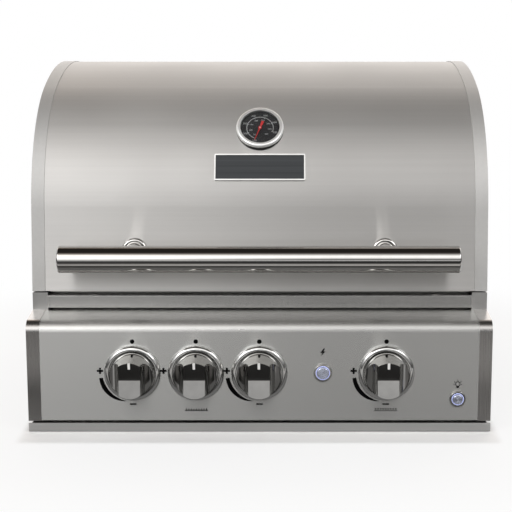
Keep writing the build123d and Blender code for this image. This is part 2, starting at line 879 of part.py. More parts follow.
def mount_hole_ys():
    return (hood_front_y + mount_hole_front_gap, rear_panel_y - mount_hole_rear_gap)


def drip_tray():
    """A shallow pan that slides out on the rails, with the full-width strip at its front."""
    half = half_w - sheet_t - rail_t - tray_side_gap
    low = rail_t + tray_lift
    high = low + tray_h
    rear = rear_panel_y - tray_rear_gap
    pan = block(-half, half, panel_y, rear, low, high)
    pan -= block(-half + tray_t, half - tray_t, panel_y + tray_t, rear - tray_t, low + tray_t, high + overrun)
    strip = block(-half_w, half_w, panel_y - tray_t, panel_y, tray_front_lift, tray_front_top_z)
    lip = block(-half_w, half_w, panel_y - tray_t, panel_y + tray_front_lip, tray_front_lift,
                tray_front_lift + tray_t)
    return pan + strip + lip


# Burners and what carries them


def support_rail():
    """The front rail: a web on the liner with ledges for the burners, the flame tamers and the grates."""
    web = block(-cook_half_w, cook_half_w, cook_front_y, cook_front_y + support_t,
                burner_ledge_z - ledge_w, grate_ledge_z)
    for top in (burner_ledge_z, tamer_ledge_z, grate_ledge_z):
        web += block(-cook_half_w, cook_half_w, cook_front_y, ledge_front_y, top - support_t, top)
    return web


def support_rails():
    front = support_rail()
    for slot in burner_slots + (sear_slot,):
        plane = panel_plane(knob_x(slot), knob_z)
        front -= disc(plane, venturi_r + venturi_hole_gap, -(ledge_front_y - panel_y) - overrun, 0)
    middle = Plane(origin=(0, (cook_front_y + cook_rear_y) / 2, 0), z_dir=(0, 1, 0))
    rear = support_rail().mirror(middle)
    return [front, rear]


def burner_front_y():
    return ledge_front_y - ledge_w + burner_end_gap


def burner_rear_y():
    return cook_rear_y - support_t - slip_gap


def venturi(slot, end_y):
    plane = panel_plane(knob_x(slot), knob_z)
    return ring(plane, venturi_r, venturi_bore_r, -(end_y - panel_y), -venturi_front)


def main_burners():
    """Two stamped burners with a row of ports along each side and a mixing tube to the valve."""
    burners = []
    low = burner_ledge_z
    high = low + burner_h
    front, rear = burner_front_y(), burner_rear_y()
    for slot in burner_slots:
        x = knob_x(slot)
        half = burner_w / 2
        body = fillet(block(x - half, x + half, front, rear, low, high).edges().filter_by(Axis.Z), burner_round)
        pitch = (rear - front - 2 * port_end_gap) / (port_count - 1)
        ports = []
        for number in range(port_count):
            y = front + port_end_gap + number * pitch
            for sign in (-1, 1):
                centre = x + sign * (half - port_len / 2)
                ports.append(block(centre - port_len / 2, centre + port_len / 2, y - port_w / 2, y + port_w / 2,
                                   high - port_depth, high + overrun))
        body = body - ports
        burners.append(body + venturi(slot, front))
    return burners


def sear_bounds():
    x0 = knob_x(burner_slots[-1]) + tamer_half_w + sear_tamer_gap
    return x0, cook_half_w - sear_side_gap, burner_front_y(), burner_rear_y()


def sear_burner_housing():
    x0, x1, y0, y1 = sear_bounds()
    low, high = burner_ledge_z, burner_ledge_z + sear_h
    box = block(x0, x1, y0, y1 - ledge_w, low, high)
    well = block(x0 + sear_wall, x1 - sear_wall, y0 + sear_wall, y1 - ledge_w - sear_wall,
                 low + sear_wall, high + overrun)
    foot = block(x0, x1, y1 - ledge_w, y1, low, low + sear_wall)
    plane = panel_plane(knob_x(sear_slot), knob_z)
    entry = disc(plane, venturi_bore_r, -(y0 + sear_wall - panel_y), -(y0 - panel_y))
    return box - well - entry + foot + venturi(sear_slot, y0)


def sear_burner_tile():
    x0, x1, y0, y1 = sear_bounds()
    high = burner_ledge_z + sear_h
    x0, x1 = x0 + sear_wall + slip_gap, x1 - sear_wall - slip_gap
    y0, y1 = y0 + sear_wall + slip_gap, y1 - ledge_w - sear_wall - slip_gap
    tile = block(x0, x1, y0, y1, high - tile_t, high)
    cuts = []
    for number in range(1, tile_rows):
        x = x0 + (x1 - x0) * number / tile_rows
        y = y0 + (y1 - y0) * number / tile_rows
        cuts.append(block(x - tile_groove, x + tile_groove, y0, y1, high - tile_groove, high + overrun))
        cuts.append(block(x0, x1, y - tile_groove, y + tile_groove, high - tile_groove, high + overrun))
    return tile - cuts


def rear_burner_housing():
    half = rear_burner_w / 2
    front = cook_rear_y - rear_burner_depth
    low, high = rear_burner_bottom_z, rear_burner_bottom_z + rear_burner_h
    box = block(-half, half, front, cook_rear_y, low, high)
    rim = rear_burner_rim
    pocket = block(-half + rim, half - rim, front - overrun, front + tile_t, low + rim, high - rim)
    x = knob_x(rear_slot())
    entry = rod((x, front, gas_tube_entry_z), (x, cook_rear_y, gas_tube_entry_z), gas_tube_r - sheet_t)
    return box - pocket - entry


def rear_burner_tile():
    half = rear_burner_w / 2 - rear_burner_rim - slip_gap
    low = rear_burner_bottom_z + rear_burner_rim + slip_gap
    high = rear_burner_bottom_z + rear_burner_h - rear_burner_rim - slip_gap
    front = cook_rear_y - rear_burner_depth
    tile = block(-half, half, front, front + tile_t, low, high)
    cuts = []
    columns = tile_rows * 2
    for number in range(1, columns):
        x = -half + 2 * half * number / columns
        cuts.append(block(x - tile_groove, x + tile_groove, front - overrun, front + tile_groove, low, high))
    middle = (low + high) / 2
    cuts.append(block(-half, half, front - overrun, front + tile_groove, middle - tile_groove, middle + tile_groove))
    return tile - cuts


def rear_burner_gas_tube():
    """A bent tube from the second valve, under the firebox and up behind the back wall."""
    x = knob_x(rear_slot())
    start_y = panel_y + valve_end
    drop_y = start_y + gas_tube_bend_r
    rise_y = wall_y + gas_tube_out
    points = [(x, start_y, knob_z), (x, drop_y, knob_z), (x, drop_y, gas_tube_low_z),
              (x, rise_y, gas_tube_low_z), (x, rise_y, gas_tube_entry_z), (x, cook_rear_y, gas_tube_entry_z)]
    path = FilletPolyline(*points, radius=gas_tube_bend_r - gas_tube_hole_gap)
    section = Plane(origin=points[0], z_dir=(0, 1, 0)) * Circle(gas_tube_r)
    return sweep(section, path=path)


def flame_tamers():
    """Tent-shaped covers over the main burners, resting on the middle ledges."""
    tamers = []
    low = tamer_ledge_z
    front = cook_front_y + support_t + slip_gap
    rear = cook_rear_y - support_t - slip_gap
    for slot in burner_slots:
        x = knob_x(slot)
        outer = [(x - tamer_half_w, low), (x, low + tamer_rise), (x + tamer_half_w, low)]
        rise = sheet_t * math.hypot(tamer_half_w, tamer_rise) / tamer_half_w
        run = sheet_t * math.hypot(tamer_half_w, tamer_rise) / tamer_rise
        inner = [(x + tamer_half_w - run, low), (x, low + tamer_rise - rise), (x - tamer_half_w + run, low)]
        section = Plane(origin=(0, rear, 0), x_dir=(1, 0, 0), z_dir=(0, -1, 0))
        tamers.append(extrude(section * make_face(Polyline(*outer, *inner, close=True)), rear - front))
    return tamers


def spark_electrodes():
    electrodes = []
    z = burner_ledge_z + burner_h + electrode_r
    y = burner_front_y() + burner_round
    for slot in burner_slots:
        x = knob_x(slot) + electrode_offset
        electrodes.append(rod((x, y, z), (x, y + electrode_len, z), electrode_r))
    return electrodes


# Grates, rack and lamps


def cooking_grates():
    span = 2 * cook_half_w - grate_gap * (grate_count + 1)
    each = span / grate_count
    low = grate_ledge_z
    front, rear = cook_front_y + grate_end_gap, cook_rear_y - grate_end_gap
    grates = []
    for number in range(grate_count):
        x0 = -cook_half_w + grate_gap + number * (each + grate_gap)
        pieces = [block(x0, x0 + each, front, front + grate_bar, low, low + grate_bar),
                  block(x0, x0 + each, rear - grate_bar, rear, low, low + grate_bar)]
        z = low + grate_bar + grate_rod_r - grate_rod_sink
        pitch = (each - 2 * grate_rod_r) / (grate_rods - 1)
        for index in range(grate_rods):
            x = x0 + grate_rod_r + index * pitch
            pieces.append(rod((x, front, z), (x, rear, z), grate_rod_r))
        grates.append(pieces[0].fuse(*pieces[1:]))
    return grates


def warming_rack():
    """A wire rack on two brackets that stand out from the back wall."""
    half = cook_half_w - rack_side_inset
    rear = cook_rear_y - rack_wall_gap - rack_frame_r
    front = rear - rack_depth
    pieces = [rod((-half, y, rack_z), (half, y, rack_z), rack_frame_r) for y in (front, rear)]
    pitch = 2 * (half - rack_frame_r) / (rack_rods - 1)
    for index in range(rack_rods):
        x = -half + rack_frame_r + index * pitch
        pieces.append(rod((x, front, rack_z), (x, rear, rack_z), rack_rod_r))
    rack = pieces[0].fuse(*pieces[1:])
    top = rack_z - rack_frame_r
    shape = polygon([(cook_rear_y, top), (front - rack_frame_r, top), (cook_rear_y, top - rack_bracket_h)])
    bracket = across(shape, half - rack_bracket_t, half)
    return [rack, bracket, mirrored(bracket)]


def lamp_block(x, shrink, y0, y1):
    return block(x - lamp_w / 2 + shrink, x + lamp_w / 2 - shrink, y0, y1,
                 lamp_z - lamp_h / 2 + shrink, lamp_z + lamp_h / 2 - shrink)


def interior_lamps():
    """Lamp housings on the back wall, each with its glass in front."""
    solids = []
    front = cook_rear_y - lamp_depth
    for x in (-lamp_x, lamp_x):
        shell = fillet(lamp_block(x, 0, front, cook_rear_y).edges().filter_by(Axis.Y), lamp_round)
        solids.append(shell - lamp_block(x, lamp_lens_rim, front - overrun, front + lamp_lens_t))
        solids.append(lamp_block(x, lamp_lens_rim + slip_gap, front, front + lamp_lens_t))
    return solids


def build():
    """Every node of the grill, by name."""
    right_side = hood_side()
    right_box = firebox_side()
    right_cap = panel_end_cap()
    nodes = {
        "hood_skin": hood_skin(),
        "hood_liner": hood_liner(),
        "hood_side_left": mirrored(right_side),
        "hood_side_right": right_side,
        "hood_pivot_brackets": pivot_brackets(),
        "hood_pivot_pins": pivot_pins(),
        "hood_bumpers": hood_bumpers(),
        "handle_tube": handle_tube(),
        "handle_end_caps": handle_end_caps(),
        "handle_posts": handle_posts(),
        "thermometer_case": thermometer_case(),
        "thermometer_dial": thermometer_dial(),
        "thermometer_needle": thermometer_needle(),
        "thermometer_lens": thermometer_lens(),
        "nameplate_frame": nameplate_frame(),
        "nameplate_face": nameplate_face(),
        "control_panel": control_panel(),
        "panel_end_cap_left": mirrored(right_cap),
        "panel_end_cap_right": right_cap,
        "knob_bezels": knob_bezels(),
        "gas_valves": [gas_valve(slot) for slot in knob_slots],
        "gas_manifold": gas_manifold(),
        "gas_inlet_pipe": gas_inlet_pipe(),
        "button_bezels": [button_bezel(*place) for place in button_places()],
        "spark_module": spark_module(),
        "light_switch": light_switch(),
        "firebox_side_left": mirrored(right_box),
        "firebox_side_right": right_box,
        "firebox_rear_panel": firebox_rear_panel(),
        "front_bar": front_bar(),
        "firebox_liner": firebox_liner(),
        "firebox_back_wall": firebox_back_wall(),
        "base_rails": base_rails(),
        "drip_tray": drip_tray(),
        "support_rails": support_rails(),
        "main_burners": main_burners(),
        "sear_burner_housing": sear_burner_housing(),
        "sear_burner_tile": sear_burner_tile(),
        "rear_burner_housing": rear_burner_housing(),
        "rear_burner_tile": rear_burner_tile(),
        "rear_burner_gas_tube": rear_burner_gas_tube(),
        "flame_tamers": flame_tamers(),
        "spark_electrodes": spark_electrodes(),
        "cooking_grates": cooking_grates(),
        "warming_rack": warming_rack(),
        "interior_lamps": interior_lamps(),
    }
    for number, slot in enumerate(knob_slots, start=1):
        nodes[f"knob_{number}"] = knob(slot)
        nodes[f"valve_stem_{number}"] = valve_stem(slot)
        nodes[f"valve_plunger_{number}"] = valve_plunger(slot)
    for name, place in zip(("ignition_button", "light_button"), button_places()):
        nodes[name] = push_button(*place)
    return nodes


def write(nodes):
    os.makedirs("parts", exist_ok=True)
    for name, shape in nodes.items():
        solids = shape if isinstance(shape, list) else [shape]
        export_step(Compound(children=solids), f"parts/{name}.step")


nodes = build()
write(nodes)
overall = Compound([solid for shape in nodes.values() for solid in (shape if isinstance(shape, list) else [shape])])
box = overall.bounding_box()
print("nodes", len(nodes))
print("low", box.min, "high", box.max)
print("hood pivot", pivot_y, hood_pivot_z)
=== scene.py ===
import math

import bmesh
import bpy
from mathutils import Matrix, Vector


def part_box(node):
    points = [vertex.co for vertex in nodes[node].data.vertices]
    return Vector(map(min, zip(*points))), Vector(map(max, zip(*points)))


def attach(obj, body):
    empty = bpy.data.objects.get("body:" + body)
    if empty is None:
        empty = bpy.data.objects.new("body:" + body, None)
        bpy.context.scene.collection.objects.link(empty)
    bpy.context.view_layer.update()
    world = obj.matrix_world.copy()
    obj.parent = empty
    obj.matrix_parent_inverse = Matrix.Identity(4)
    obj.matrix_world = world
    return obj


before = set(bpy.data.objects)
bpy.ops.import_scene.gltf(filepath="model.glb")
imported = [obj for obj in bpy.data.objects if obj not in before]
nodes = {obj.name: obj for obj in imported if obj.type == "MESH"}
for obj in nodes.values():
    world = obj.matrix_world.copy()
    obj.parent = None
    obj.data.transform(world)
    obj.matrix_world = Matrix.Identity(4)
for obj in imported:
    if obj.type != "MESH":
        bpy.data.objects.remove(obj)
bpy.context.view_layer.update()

# Sizes and places in metres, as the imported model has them

MM = 0.001
PANEL_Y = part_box("control_panel")[0].y
KNOB_Z = 0.094
KNOB_PITCH = 0.097
KNOB_SLOTS = (-2, -1, 0, 2)
REAR_BURNER_SLOT = KNOB_SLOTS[1]
SEAR_BURNER_SLOT = KNOB_SLOTS[3]
KNOB_REACH = 0.046
KNOB_DISH = 0.0044
KNOB_FRONT_R = 0.0275
IGNITION_BUTTON = (KNOB_PITCH, KNOB_Z)
LIGHT_BUTTON = (0.304, 0.0525)
GAUGE_ANGLE = math.radians(40)
PLATE_ANGLE = math.radians(21.9)
PLATE_WINDOW_HALF = (69.0 * MM, 19.2 * MM)
DIAL_HALF_THICK = 0.4 * MM


def middle(box):
    low_corner, high_corner = box
    return (low_corner + high_corner) / 2


GAUGE_OUT = Vector((0, -math.cos(GAUGE_ANGLE), math.sin(GAUGE_ANGLE)))
DIAL_FACE = middle(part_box("thermometer_dial")) + GAUGE_OUT * DIAL_HALF_THICK
PLATE_UP = Vector((0, math.sin(PLATE_ANGLE), math.cos(PLATE_ANGLE)))
PLATE_MIDDLE = middle(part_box("nameplate_frame"))


# Node trees


class Tree:
    """A node tree and the short calls that build it. A value is a node and the name of its output."""

    def __init__(self, owner, output):
        owner.use_nodes = True
        self.tree = owner.node_tree
        self.tree.nodes.clear()
        self.out = self.add(output)
        self.coords = self.add("TexCoord")

    def add(self, kind, values=None, **props):
        made = self.tree.nodes.new("ShaderNode" + kind)
        for key, value in props.items():
            setattr(made, key, value)
        for key, value in (values or {}).items():
            made.inputs[key].default_value = value
        return made

    def link(self, value, target, into):
        source, out = value
        self.tree.links.new(source.outputs[out], target.inputs[into])

    def math(self, operation, a, b=None, clamp=False):
        made = self.add("Math", operation=operation, use_clamp=clamp)
        for index, value in enumerate((a, b)):
            if isinstance(value, tuple):
                self.link(value, made, index)
            elif value is not None:
                made.inputs[index].default_value = value
        return made, "Value"

    def ranged(self, value, start, end, low=0.0, high=1.0, curve="LINEAR"):
        """A value's way from start to end, put into the range from low to high and held at its ends."""
        made = self.add("MapRange", {"From Min": start, "From Max": end, "To Min": low, "To Max": high},
                        interpolation_type=curve)
        self.link(value, made, "Value")
        return made, "Result"

    def eased(self, value, start, end, low=0.0, high=1.0):
        """The same, with a soft start and end."""
        return self.ranged(value, start, end, low, high, "SMOOTHSTEP")

    def mix(self, factor, a, b, blend="MIX"):
        made = self.add("Mix", data_type="RGBA", blend_type=blend)
        sockets = [made.inputs[0]] + [socket for socket in made.inputs if socket.type == "RGBA"]
        for socket, value in zip(sockets, (factor, a, b)):
            if not isinstance(value, tuple):
                socket.default_value = value
            elif isinstance(value[0], bpy.types.Node):
                self.tree.links.new(value[0].outputs[value[1]], socket)
            else:
                socket.default_value = (*value, 1)
        colour_output = 2
        return made, colour_output

    def grey(self, value):
        """A colour with the same value in its three channels."""
        made = self.add("CombineColor")
        for channel in ("Red", "Green", "Blue"):
            self.link(value, made, channel)
        return made, "Color"

    def white_rays(self, mirrored_share):
        """1 for camera and transmitted rays, and a share for mirrored ones: the rays that see white."""
        rays = self.add("LightPath")
        mirrored = self.math("MULTIPLY", (rays, "Is Glossy Ray"), mirrored_share)
        through = self.math("ADD", (rays, "Is Camera Ray"), (rays, "Is Transmission Ray"))
        return self.math("ADD", through, mirrored, clamp=True)

    def surface(self, white_share, shader, white):
        """Ends the tree in a shader, with a share of a white one."""
        blend = self.add("MixShader")
        for index, value in enumerate((white_share, shader, white)):
            self.link(value, blend, index)
        self.link((blend, "Shader"), self.out, "Surface")


class Paint(Tree):
    """The node tree of one material, with one shader."""

    def __init__(self, name):
        self.mat = bpy.data.materials.new(name)
        super().__init__(self.mat, "OutputMaterial")
        self.shader = self.add("BsdfPrincipled")
        self.link((self.shader, "BSDF"), self.out, "Surface")

    def set(self, **values):
        """Sets what is the same all over a surface, on the shader's own sockets."""
        for key, value in values.items():
            self.shader.inputs[key.replace("_", " ")].default_value = value

    def feed(self, value, into):
        self.link(value, self.shader, into)

    def noise(self, scale, detail=3.0):
        """Noise in Object coordinates, with a scale for each direction."""
        spot = self.add("Mapping", {"Scale": scale})
        self.link((self.coords, "Object"), spot, "Vector")
        made = self.add("TexNoise", {"Scale": 1.0, "Detail": detail, "Roughness": 0.6})
        self.link((spot, "Vector"), made, "Vector")
        return made, "Fac"

    def cloud(self, scale, detail=3.0):
        """Noise that is as fine in every direction."""
        return self.noise((scale, scale, scale), detail)

    def spread(self, noise, low, high):
        """The middle part of a noise, put into a range."""
        return self.ranged(noise, 0.3, 0.7, low, high)

    def tint(self, noise, a, b):
        """The base colour, which goes from one colour to another with a noise."""
        self.feed(self.mix(self.spread(noise, 0.0, 1.0), a, b), "Base Color")

    def bump(self, height, strength, distance):
        made = self.add("Bump", {"Strength": strength, "Distance": distance})
        self.link(height, made, "Height")
        self.feed((made, "Normal"), "Normal")

    def across(self, grain):
        """The direction along a surface and over its grain, which is the way that brushing spreads light."""
        normal = self.add("NewGeometry")
        axis = self.add("CombineXYZ", {grain: 1.0})
        made = self.add("VectorMath", operation="CROSS_PRODUCT")
        self.link((axis, "Vector"), made, 0)
        self.link((normal, "Normal"), made, 1)
        return made, "Vector"

    def along(self, direction):
        """How far a point lies along a direction."""
        made = self.add("VectorMath", {1: direction}, operation="DOT_PRODUCT")
        self.link((self.coords, "Object"), made, 0)
        return made, "Value"


def times(colour, factor):
    return tuple(channel * factor for channel in colour)


def steel(name, colour, rough, grain="X", streak=0.018, vary=0.02, aniso=0.0, fine=1500.0, depth=0.12):
    """Brushed or drawn sheet: long fine grain, faint broad streaks and slow changes in the finish."""
    paint = Paint(name)
    along_grain = 4.0
    scale = [along_grain if axis == grain else fine for axis in "XYZ"]
    lines = paint.noise(scale, detail=4.0)
    broad = paint.noise([value * 0.1 for value in scale], detail=2.0)
    slow = paint.cloud(4.0, detail=2.0)
    fine_shade = paint.spread(lines, -streak, streak)
    broad_shade = paint.spread(broad, 1.0 - streak, 1.0 + streak)
    shade = paint.grey(paint.math("ADD", fine_shade, broad_shade))
    paint.feed(paint.mix(1.0, colour, shade, "MULTIPLY"), "Base Color")
    fine_finish = paint.spread(lines, rough - vary, rough + vary)
    slow_finish = paint.spread(slow, -vary, vary)
    paint.feed(paint.math("ADD", fine_finish, slow_finish), "Roughness")
    paint.bump(lines, depth, 0.02 * MM)
    paint.set(Metallic=1.0, Anisotropic=aniso)
    if aniso:
        paint.feed(paint.across(grain), "Tangent")
    return paint.mat


def chrome(name, colour, rough, satin=0.0, dark=None, share=None):
    """Polished casting or tube: clear reflections with a faint haze, and the dark colour where share is 0,
    which is painted shade on the gauge case and the face's own colour on the nameplate frame.
    """
    paint = Paint(name)
    vary = 0.02
    haze = paint.cloud(60.0)
    fine = paint.cloud(900.0, detail=2.0)
    paint.feed(paint.spread(haze, max(rough - vary, 0.02), rough + vary), "Roughness")
    face = paint.mix(paint.spread(haze, 0.0, 1.0), colour, times(colour, 0.94))
    if share:
        face = paint.mix(share(paint), dark, face)
    paint.feed(face, "Base Color")
    paint.bump(fine, 0.06 + satin, 0.01 * MM)
    paint.set(Metallic=1.0)
    return paint.mat


def above(point, normal, low, high):
    """Share that rises from 0 to 1 with the height over a plane."""
    def share(paint):
        level = point.dot(normal)
        return paint.ranged(paint.along(normal), level + low, level + high)
    return share


def outside(centre, up, half_wide, half_tall, edge=0.1 * MM):
    """Share that is 1 outside a rectangle on a plane and 0 in it."""
    def share(paint):
        over_side = paint.math("SUBTRACT", paint.math("ABSOLUTE", paint.along((1, 0, 0))), half_wide)
        from_centre = paint.math("SUBTRACT", paint.along(up), centre.dot(up))
        over_top = paint.math("SUBTRACT", paint.math("ABSOLUTE", from_centre), half_tall)
        return paint.ranged(paint.math("MAXIMUM", over_side, over_top), -edge, edge)
    return share


def coat(name, colour, rough, depth=0.3, specular=0.5):
    """Printed, painted, moulded or rubber surface with a fine grain."""
    paint = Paint(name)
    vary = 0.06
    grain = paint.cloud(400.0)
    paint.tint(paint.cloud(18.0, detail=2.0), times(colour, 0.92), colour)
    paint.feed(paint.spread(grain, rough - vary, rough + vary), "Roughness")
    paint.bump(grain, depth, 0.03 * MM)
    paint.set(Specular_IOR_Level=specular)
    return paint.mat


def brass(name):
    """Turned brass with fine rings round the valves' axes."""
    paint = Paint(name)
    cloud = paint.cloud(90.0, detail=4.0)
    turned = paint.noise((60.0, 2600.0, 60.0), detail=2.0)
    paint.tint(cloud, (0.66, 0.46, 0.2), (0.5, 0.33, 0.13))
    paint.feed(paint.spread(cloud, 0.26, 0.42), "Roughness")
    paint.bump(turned, 0.2, 0.02 * MM)
    paint.set(Metallic=1.0)
    return paint.mat


def ceramic(name, pitch):
    """Burner plate of pale fired clay with rows of fine gas holes."""
    paint = Paint(name)
    cells = paint.add("TexVoronoi", {"Scale": 1.0 / pitch, "Randomness": 0.0}, feature="F1")
    paint.link((paint.coords, "Object"), cells, "Vector")
    hole_with_painted_shade = paint.math("LESS_THAN", (cells, "Distance"), 0.3)
    cloud = paint.cloud(25.0, detail=4.0)
    body = paint.mix(paint.spread(cloud, 0.0, 1.0), (0.72, 0.62, 0.5), (0.82, 0.74, 0.62))
    # The gas holes are painted dark as shade inside them, and they dip in the bump.
    paint.feed(paint.mix(hole_with_painted_shade, body, (0.1, 0.08, 0.06)), "Base Color")
    paint.bump(paint.math("SUBTRACT", 1.0, hole_with_painted_shade), 0.6, 0.5 * MM)
    paint.set(Roughness=0.85)
    return paint.mat


def glass(name):
    """Thin clear lens that hardly bends what is behind it."""
    paint = Paint(name)
    paint.feed(paint.spread(paint.cloud(40.0, detail=2.0), 0.0, 0.03), "Roughness")
    paint.set(IOR=1.12, Transmission_Weight=1.0)
    return paint.mat


def spun(name, colour, rough):
    """A turned disc: grooves run round it, so its highlights fan out from the middle."""
    paint = Paint(name)
    vary = 0.05
    lines = paint.cloud(700.0)
    paint.feed(paint.spread(lines, rough - vary, rough + vary), "Roughness")
    paint.tint(lines, colour, times(colour, 0.9))
    paint.bump(lines, 0.1, 0.01 * MM)
    tangent = paint.add("Tangent", direction_type="RADIAL", axis="Y")
    paint.feed((tangent, "Tangent"), "Tangent")
    paint.set(Metallic=1.0, Anisotropic=0.85, Anisotropic_Rotation=0.25)
    return paint.mat


def light_ring(name, colour, strength):
    """Frosted ring that glows a little."""
    paint = Paint(name)
    paint.tint(paint.cloud(300.0, detail=2.0), colour, times(colour, 0.9))
    paint.set(Emission_Color=(*colour, 1), Emission_Strength=strength, Roughness=0.35)
    return paint.mat


# Finishes

PLATE_DARK = (0.034, 0.036, 0.038)

hood_steel = steel("hood_brushed_steel", (0.6, 0.59, 0.575), 0.365, "X", aniso=1.0)
band_steel = steel("band_brushed_steel", (0.57, 0.565, 0.555), 0.68, "Y")
panel_steel = steel("panel_brushed_steel", (0.575, 0.575, 0.56), 0.27, "X",
                    streak=0.005, vary=0.001, aniso=1.0, fine=2600, depth=0.02)
bar_steel = steel("bar_brushed_steel", (0.47, 0.465, 0.455), 0.2, "X",
                  streak=0.01, vary=0.01, aniso=1.0, depth=0.05)
box_steel = steel("firebox_side_steel", (0.55, 0.545, 0.535), 0.36, "Y")
mill_steel = steel("mill_finish_steel", (0.48, 0.475, 0.465), 0.38, "X", streak=0.03, fine=300.0, depth=0.12)
tray_steel = steel("tray_steel", (0.6, 0.595, 0.585), 0.5, "X", streak=0.03)
inner_steel = steel("inner_sheet_steel", (0.46, 0.45, 0.435), 0.4, "X", streak=0.03, fine=400.0, depth=0.15)
wire_steel = steel("grate_rod_steel", (0.5, 0.49, 0.47), 0.3, "Y", streak=0.05, fine=500.0)
cap_steel = steel("end_cap_steel", (0.37, 0.36, 0.35), 0.26, "Z", streak=0.03, vary=0.03)
plate_grey = steel("plate_face_charcoal", PLATE_DARK, 0.34, "X", streak=0.12, depth=0.2)
tube_chrome = chrome("polished_tube", (0.5, 0.49, 0.475), 0.08)
trim_chrome = chrome("polished_trim", (0.62, 0.62, 0.61), 0.07)
knob_chrome = chrome("knob_casting", (0.34, 0.335, 0.325), 0.08, satin=0.02)
bezel_chrome = chrome("bezel_casting", (0.58, 0.58, 0.57), 0.1)
# The gauge case's side wall below the dial face is painted near black: this is painted shade under the rim,
# not a finish of the case.
gauge_chrome_painted_shade = chrome("gauge_case_painted_shade", (0.93, 0.93, 0.92), 0.48, dark=(0.03, 0.03, 0.03),
                      share=above(DIAL_FACE, GAUGE_OUT, -DIAL_HALF_THICK, 0.6 * MM))
plate_chrome = chrome("plate_frame", (0.5, 0.5, 0.49), 0.3, dark=PLATE_DARK,
                      share=outside(PLATE_MIDDLE, PLATE_UP, *PLATE_WINDOW_HALF))
# The buttons' blue tint is painted light: the glow of their light rings on the spun steel.
button_steel_painted_glow = spun("button_spun_steel_painted_glow", (0.66, 0.7, 0.84), 0.28)
brass_turned = brass("valve_brass")
rubber = coat("bumper_rubber", (0.02, 0.02, 0.02), 0.7)
plastic = coat("module_plastic", (0.025, 0.025, 0.027), 0.5)
dial_black = coat("dial_face_black", (0.012, 0.012, 0.014), 0.45, depth=0.1)
dial_print = coat("dial_print_grey", (0.55, 0.55, 0.55), 0.5, depth=0.1)
needle_red = coat("needle_paint_red", (0.75, 0.03, 0.03), 0.4, depth=0.1)
print_black = coat("panel_print_black", (0.004, 0.004, 0.004), 0.9, depth=0.1, specular=0.0)
pointer_white = coat("pointer_white", (0.86, 0.86, 0.84), 0.4, depth=0.1)
electrode_white = coat("electrode_ceramic", (0.82, 0.8, 0.76), 0.25, depth=0.05)
lamp_glass = coat("lamp_frosted_glass", (0.8, 0.8, 0.78), 0.3, depth=0.2)
tile_clay = ceramic("burner_tile_clay", 3.4 * MM)
lens_glass = glass("gauge_glass")
led_glow = light_ring("led_ring_glow", (0.55, 0.6, 0.95), 0.3)

FINISH = {
    "hood_skin": hood_steel,
    "hood_side_left": band_steel,
    "hood_side_right": band_steel,
    "hood_liner": inner_steel,
    "hood_pivot_brackets": inner_steel,
    "hood_pivot_pins": trim_chrome,
    "hood_bumpers": rubber,
    "handle_tube": tube_chrome,
    "handle_end_caps": tube_chrome,
    "handle_posts": tube_chrome,
    "thermometer_case": gauge_chrome_painted_shade,
    "thermometer_dial": dial_black,
    "thermometer_needle": needle_red,
    "thermometer_lens": lens_glass,
    "nameplate_frame": plate_chrome,
    "nameplate_face": plate_grey,
    "control_panel": panel_steel,
    "panel_end_cap_left": cap_steel,
    "panel_end_cap_right": cap_steel,
    "knob_bezels": bezel_chrome,
    "gas_valves": brass_turned,
    "gas_manifold": mill_steel,
    "gas_inlet_pipe": mill_steel,
    "button_bezels": knob_chrome,
    "spark_module": plastic,
    "light_switch": plastic,
    "firebox_side_left": box_steel,
    "firebox_side_right": box_steel,
    "firebox_rear_panel": mill_steel,
    "front_bar": bar_steel,
    "firebox_liner": inner_steel,
    "firebox_back_wall": inner_steel,
    "base_rails": mill_steel,
    "drip_tray": tray_steel,
    "support_rails": inner_steel,
    "main_burners": inner_steel,
    "sear_burner_housing": inner_steel,
    "sear_burner_tile": tile_clay,
    "rear_burner_housing": inner_steel,
    "rear_burner_tile": tile_clay,
    "rear_burner_gas_tube": mill_steel,
    "flame_tamers": inner_steel,
    "spark_electrodes": electrode_white,
    "cooking_grates": wire_steel,
    "warming_rack": wire_steel,
    "interior_lamps": lamp_glass,
    "ignition_button": button_steel_painted_glow,
    "light_button": button_steel_painted_glow,
}
for number in range(1, len(KNOB_SLOTS) + 1):
    FINISH[f"knob_{number}"] = knob_chrome
    FINISH[f"valve_stem_{number}"] = brass_turned
    FINISH[f"valve_plunger_{number}"] = brass_turned
for name, node in nodes.items():
    for holder in node.material_slots:
        holder.material = FINISH[name]


# Mesh helpers


def plane(origin, right, out):
    """A matrix whose x goes right, y goes up the face and z comes out of it."""
    right, out = Vector(right), Vector(out)
    up = out.cross(right)
    turned = Matrix((right, up, out)).transposed().to_4x4()
    return Matrix.Translation(Vector(origin)) @ turned


def panel_plane(x, z):
    return plane((x, PANEL_Y, z), (1, 0, 0), (0, -1, 0))


def solid(mesh, low, high):
    """Adds the closed solid between two loops of equally many points."""
    floor = [mesh.verts.new(point) for point in low]
    top = [mesh.verts.new(point) for point in high]
    mesh.faces.new(top)
    mesh.faces.new(floor[::-1])
    count = len(floor)
    for a in range(count):
        b = (a + 1) % count
        mesh.faces.new((floor[a], floor[b], top[b], top[a]))


def prism(mesh, outline, low, high, place):
    """Adds a flat closed outline, given a thickness, to a mesh."""
    solid(mesh, *([place @ Vector((x, y, z)) for x, y in outline] for z in (low, high)))


def band(mesh, inner, outer, low, high, place):
    """Adds a strip between two open outlines of equal length, given a thickness."""
    for a in range(len(inner) - 1):
        prism(mesh, [inner[a], outer[a], outer[a + 1], inner[a + 1]], low, high, place)


